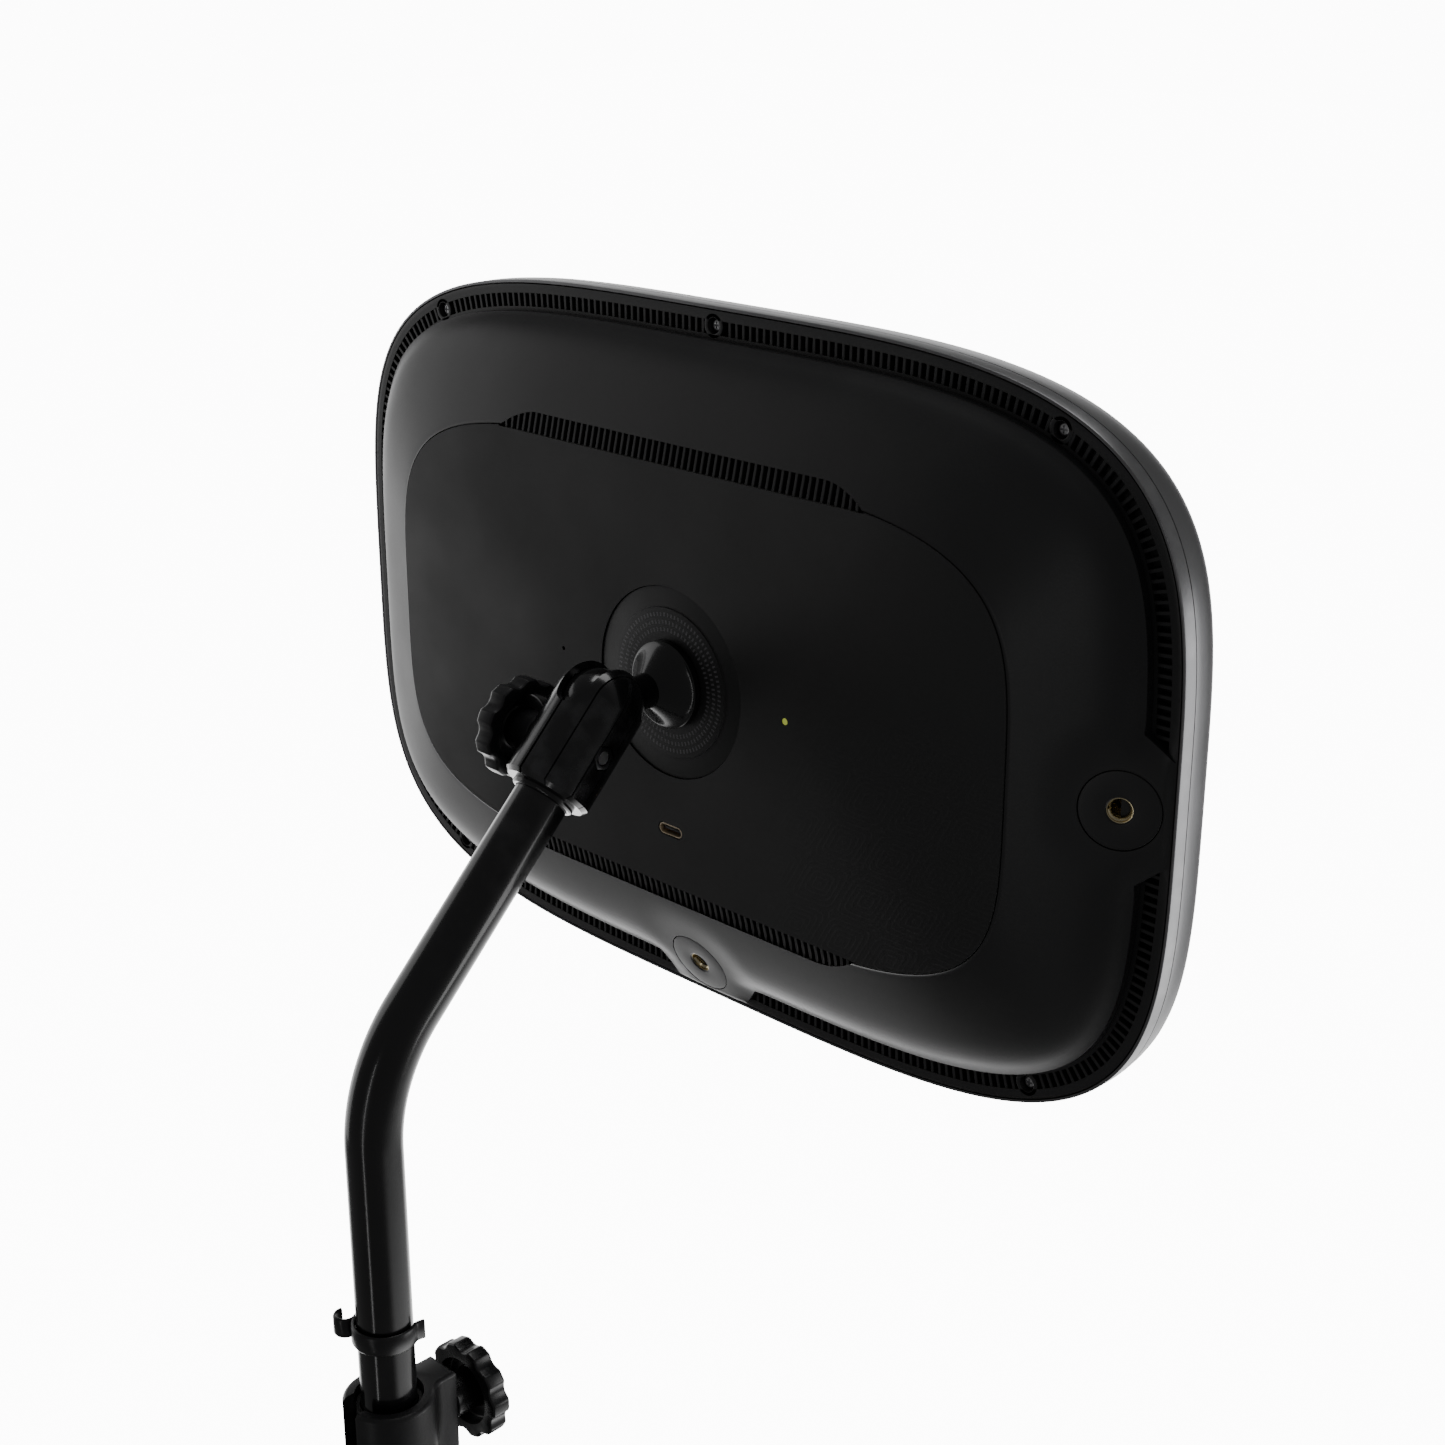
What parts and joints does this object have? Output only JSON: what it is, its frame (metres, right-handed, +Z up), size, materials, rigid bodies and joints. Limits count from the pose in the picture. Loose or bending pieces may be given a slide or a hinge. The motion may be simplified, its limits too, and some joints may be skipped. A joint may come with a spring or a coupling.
{
  "type": "smart panel light",
  "caption": "Thin rectangular LED panel light with an opal face, on a ball head and a bent pole with a screw clamp for a desk edge",
  "frame": {"origin": "middle of the underside of the rubber pad under the clamp's upper jaw, where the lamp rests on a desk top", "axes": "+Z up along the pole, -Y the way the light shines, +X to the right for someone who looks at the light's face"},
  "size_m": [0.3038, 0.1508, 0.4739],
  "materials": {
    "shell_plastic": "satin charcoal, fine grain",
    "plate_plastic": "matte black",
    "frame_metal": "satin dark grey",
    "gloss_paint": "gloss black",
    "gloss_plastic": "gloss black",
    "clamp_paint": "satin black powder coat",
    "opal_plastic": "opal, satin",
    "clear_plastic": "clear acrylic",
    "white_film": "white",
    "board": "green solder mask",
    "chip_plastic": "moulded black",
    "steel": "zinc plated",
    "aluminium": "mill finish",
    "brass": "bright knurled",
    "rubber": "matte black"
  },
  "bodies": {
    "desk_clamp": {"clamp_frame": "clamp_paint", "upper_jaw_pad": "rubber"},
    "sleeve": {"liner_sleeve": "plate_plastic"},
    "pole": {"pole_tube": "gloss_paint", "pole_end_cap": "rubber", "ball_clamp_knob_side": "gloss_paint", "ball_clamp_nut_side": "gloss_paint", "ball_clamp_nut": "steel"},
    "clip": {"cable_clip": "gloss_plastic"},
    "ball": {"ball_stud": "gloss_paint"},
    "panel": {"rear_shell": "shell_plastic", "side_socket_disc": "shell_plastic", "bottom_socket_disc": "shell_plastic", "back_plate": "plate_plastic", "mount_disc": "plate_plastic", "upper_louvre_grille": "plate_plastic", "lower_louvre_grille": "plate_plastic", "front_frame": "frame_metal", "diffuser": "opal_plastic", "light_guide": "clear_plastic", "status_light_pipe": "clear_plastic", "reflector_sheet": "white_film", "upper_led_strip": "white_film", "lower_led_strip": "white_film", "led_cable_header": "white_film", "main_board": "board", "usb_c_tongue": "chip_plastic", "reset_switch": "chip_plastic", "light_driver_chip": "chip_plastic", "power_inductor": "chip_plastic", "power_chip": "chip_plastic", "stud_bolt": "steel", "mount_washer_plate": "steel", "case_screw_1": "steel", "case_screw_2": "steel", "case_screw_3": "steel", "case_screw_4": "steel", "case_screw_5": "steel", "board_screw_1": "steel", "board_screw_2": "steel", "board_screw_3": "steel", "board_screw_4": "steel", "wireless_module": "steel", "usb_c_port": "steel", "back_pan": "aluminium", "smoothing_capacitor_1": "aluminium", "smoothing_capacitor_2": "aluminium", "side_thread_insert": "brass", "bottom_thread_insert": "brass"},
    "reset": {"reset_button": "white_film"},
    "ball_knob_set": {"ball_knob": "gloss_plastic", "ball_clamp_bolt": "steel"},
    "lock_knob_set": {"lock_knob": "gloss_plastic", "lock_screw": "steel"},
    "foot": {"clamp_foot": "clamp_paint", "foot_pad": "rubber"},
    "screw_set": {"clamp_screw": "steel", "clamp_handle": "gloss_plastic"}
  },
  "joints": [
    {"name": "pole_swivel", "type": "hinge", "parent": "desk_clamp", "child": "sleeve", "pos_m": [0, 0.045, 0], "axis": [0, 0, 1], "range_deg": [-180, 180]},
    {"name": "pole_height", "type": "slide", "parent": "sleeve", "child": "pole", "axis": [0, 0, 1], "range_m": [0, 0.06]},
    {"name": "clip_slide", "type": "slide", "parent": "pole", "child": "clip", "axis": [0, 0, 1], "range_m": [-0.012, 0.045]},
    {"name": "ball_tilt", "type": "hinge", "parent": "pole", "child": "ball", "pos_m": [0, -0.03441, 0.251], "axis": [1, 0, 0], "range_deg": [-90, 30]},
    {"name": "ball_turn", "type": "hinge", "parent": "ball", "child": "panel", "pos_m": [0, -0.03441, 0.251], "axis": [0, 1, 0], "range_deg": [-90, 90]},
    {"name": "reset_press", "type": "slide", "parent": "panel", "child": "reset", "axis": [0, -1, 0], "range_m": [0, 0.0004], "stiffness_N_per_m": 300},
    {"name": "ball_knob_turn", "type": "hinge", "parent": "pole", "child": "ball_knob_set", "pos_m": [0, -0.02542, 0.24202], "axis": [1, 0, 0], "range_deg": [-120, 120]},
    {"name": "lock_knob_turn", "type": "hinge", "parent": "desk_clamp", "child": "lock_knob_set", "pos_m": [0, 0.0264, 0.0647], "axis": [0, 1, 0], "range_deg": [-120, 120]},
    {"name": "foot_lift", "type": "slide", "parent": "desk_clamp", "child": "foot", "axis": [0, 0, 1], "range_m": [-0.02, 0.027]},
    {"name": "screw_turn", "type": "hinge", "parent": "foot", "child": "screw_set", "pos_m": [0, 0, -0.1], "axis": [0, 0, 1], "range_deg": [-3660, 4920]}
  ],
  "couplings": [
    {"joint": "screw_turn", "follows": "foot_lift", "rad_per_m": 3141.6}
  ]
}
